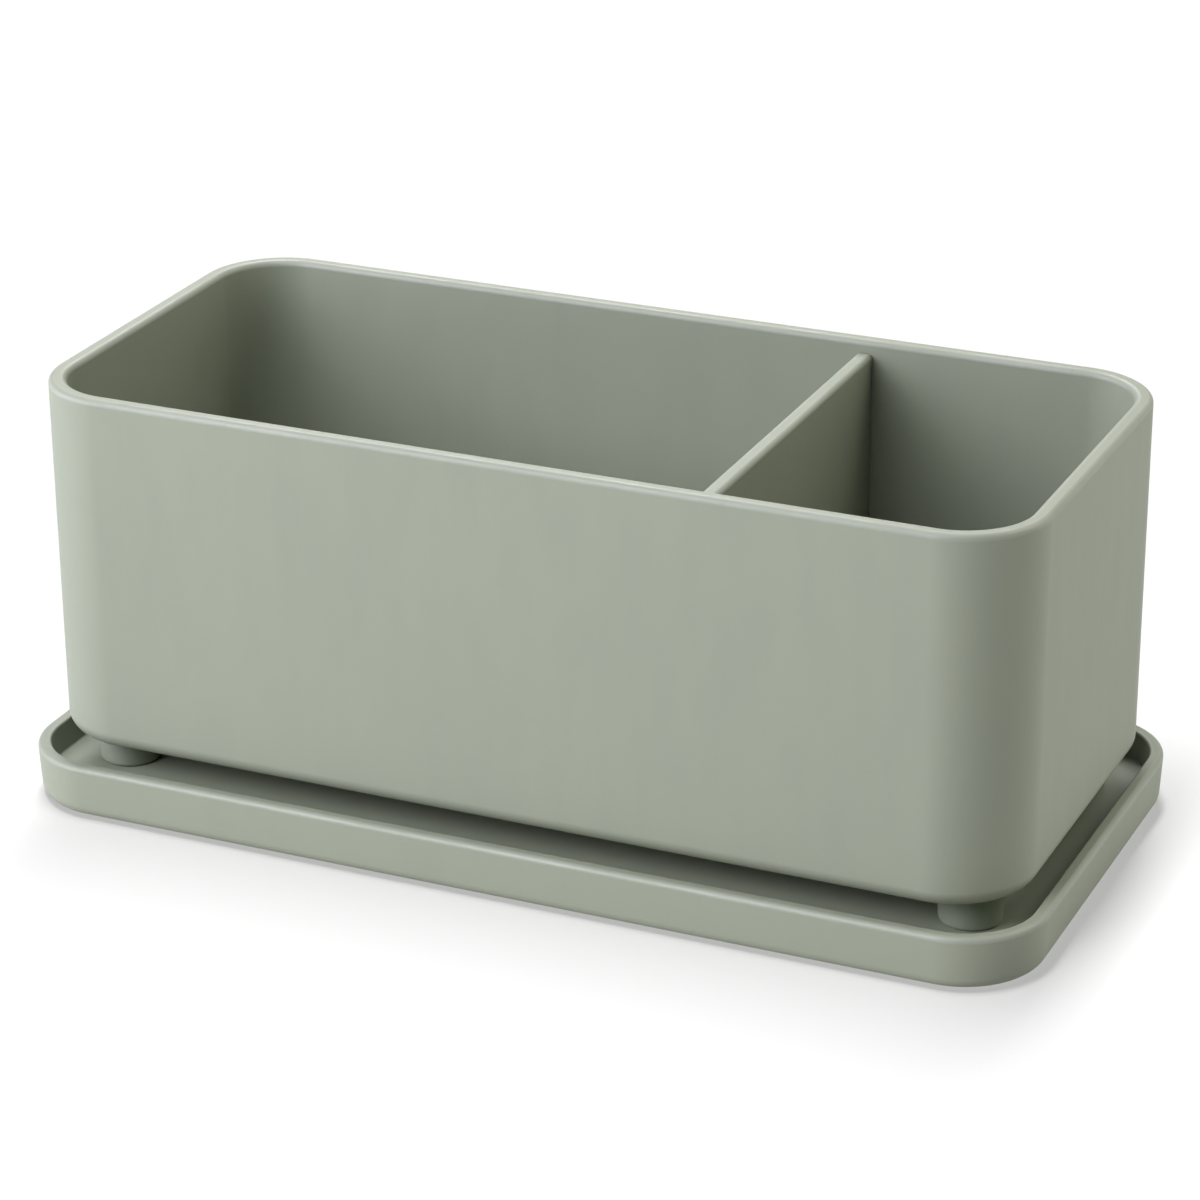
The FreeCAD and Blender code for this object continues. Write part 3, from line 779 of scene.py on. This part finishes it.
def make_camera():
    """The camera, turned, tilted and rolled, and set back from a point near the caddy's middle."""
    data = bpy.data.cameras.new("camera")
    data.sensor_width = CAMERA_SENSOR
    data.lens = CAMERA_LENS
    turn = Matrix.Rotation(CAMERA_YAW, 3, "Z") @ Matrix.Rotation(QUARTER_TURN - CAMERA_PITCH, 3, "X")
    turn = turn @ Matrix.Rotation(CAMERA_ROLL, 3, "Z")
    aim = Vector((0, 0, AIM_HEIGHT)) + turn @ Vector((AIM_RIGHT, AIM_UP, 0))
    place = aim + turn @ Vector((0, 0, CAMERA_DISTANCE))
    camera = bpy.data.objects.new("camera", data)
    camera.matrix_world = Matrix.Translation(place) @ turn.to_4x4()
    bpy.context.scene.collection.objects.link(camera)
    bpy.context.scene.camera = camera


# Stage.
FLOOR_HALF = 8.0
FLOOR_GAP = 0.02 * MM

# Softboxes. Azimuth 0 is in front of the caddy and 90 to its right.
# Box and tray have a key light each. The tray's is lower, to reach its floor under the box's front edge,
# and narrower and more to the front, to leave the floor under the drains dark.
LIGHT_DISTANCE = 1.1
LIGHT_AIM = Vector((0, 0, 50 * MM))
KEY = "key_front_left"
TRAY_KEY = "tray_key_front_left"
SOFTBOXES = (
    # name, azimuth and elevation in degrees, width, height, watts, colour
    (KEY, 325, 35, 0.9, 0.7, 15.4, "#f5f5ff"),
    (TRAY_KEY, 333, 31, 0.5, 0.42, 13.3, "#f6f6fd"),
    ("low_left", 292, 12, 0.9, 0.6, 10.2, "#efefff"),
    ("high_front", 0, 65, 0.45, 0.6, 4.5, "#fafaff"),
    ("high_rear_left", 210, 45, 0.45, 0.6, 8.8, "#fbfafd"),
    ("low_rear_right", 130, 15, 0.45, 0.6, 2.7, "#fffef0"),
    ("high_rear_right", 120, 45, 0.45, 0.6, 4.7, "#fffef4"),
    ("low_rear", 170, 30, 0.8, 0.6, 2.1, "#fffefa"),
)

# A long strip high over the table, a little to the left and the rear. It lights the table alone.
STRIP_HEIGHT = 3.0
STRIP_LEFT = 0.26
STRIP_REAR = 0.21
STRIP_WIDTH = 0.42
STRIP_LENGTH = 2.4
STRIP_WATTS = 120

# Pale walls, which fade out by this sine of the angle over the horizon, and a dark ceiling.
WALL_LIGHT = 0.9
WALL_TOP = 0.1
CEILING_LIGHT = 0.0


def make_floor():
    """The pale table that the caddy stands on, just under its pads."""
    mesh = bpy.data.meshes.new("floor")
    work = bmesh.new()
    bmesh.ops.create_grid(work, x_segments=1, y_segments=1, size=FLOOR_HALF)
    bmesh.ops.translate(work, verts=work.verts, vec=(0, 0, -FLOOR_GAP))
    work.to_mesh(mesh)
    work.free()
    mesh.materials.append(lit_table())
    floor = bpy.data.objects.new("floor", mesh)
    bpy.context.scene.collection.objects.link(floor)
    return floor


def make_lamp(name, place, size, watts, colour):
    """One softbox of a (width, height), which shines along its own -Z."""
    data = bpy.data.lights.new(name, "AREA")
    data.shape = "RECTANGLE"
    data.size, data.size_y = size
    data.energy = watts
    data.color = linear(colour)[:3]
    lamp = bpy.data.objects.new(name, data)
    lamp.location = place
    bpy.context.scene.collection.objects.link(lamp)
    return lamp


def light_group(name, things, state):
    """Groups things for a lamp, which acts on these alone (INCLUDE) or on all but these (EXCLUDE)."""
    group = bpy.data.collections.new(name)
    for thing in things:
        group.objects.link(thing)
    for member in group.collection_objects:
        member.light_linking.link_state = state
    return group


def make_lights(floor):
    """Softboxes round the caddy, flagged off the table, and the strip that lights the table.

    The tray has a key light of its own, lower than the box's, which reaches its floor past its lip.
    """
    tray = bpy.data.objects["moulded_tray"]
    off_table = light_group("off_table", [floor], "EXCLUDE")
    reach = {
        KEY: light_group("off_table_and_tray", [floor, tray], "EXCLUDE"),
        TRAY_KEY: light_group("tray_alone", [tray], "INCLUDE"),
    }
    for name, azimuth, elevation, width, height, watts, colour in SOFTBOXES:
        across = math.radians(azimuth)
        up = math.radians(elevation)
        way = Vector((math.sin(across) * math.cos(up), -math.cos(across) * math.cos(up), math.sin(up)))
        lamp = make_lamp(name, LIGHT_AIM + way * LIGHT_DISTANCE, (width, height), watts, colour)
        lamp.rotation_euler = way.to_track_quat("Z", "Y").to_euler()
        lamp.light_linking.receiver_collection = reach.get(name, off_table)
        if name == TRAY_KEY:
            lamp.light_linking.blocker_collection = light_group("past_lip", [tray], "EXCLUDE")
    place = (-STRIP_LEFT, STRIP_REAR, STRIP_HEIGHT)
    strip = make_lamp("table_strip", place, (STRIP_WIDTH, STRIP_LENGTH), STRIP_WATTS, PURE_WHITE)
    strip.light_linking.receiver_collection = light_group("table_alone", [floor], "INCLUDE")


def make_studio():
    """The room's own light: pale walls near the horizon and a dark ceiling."""
    world = bpy.data.worlds.new("studio")
    world.use_nodes = True
    tree = world.node_tree
    seen = node(tree, "ShaderNodeTexCoord").outputs["Generated"]
    way = node(tree, "ShaderNodeSeparateXYZ", None, {0: seen})
    glow = node(tree, "ShaderNodeMapRange", {"interpolation_type": "SMOOTHSTEP"}, {
        0: way.outputs[2], 1: 0.0, 2: WALL_TOP, 3: WALL_LIGHT, 4: CEILING_LIGHT})
    room = tree.nodes["Background"]
    room.inputs["Color"].default_value = linear(PURE_WHITE)
    tree.links.new(glow.outputs[0], room.inputs["Strength"])
    bpy.context.scene.world = world
    bpy.context.scene.view_settings.view_transform = "Standard"


make_camera()
make_lights(make_floor())
make_studio()
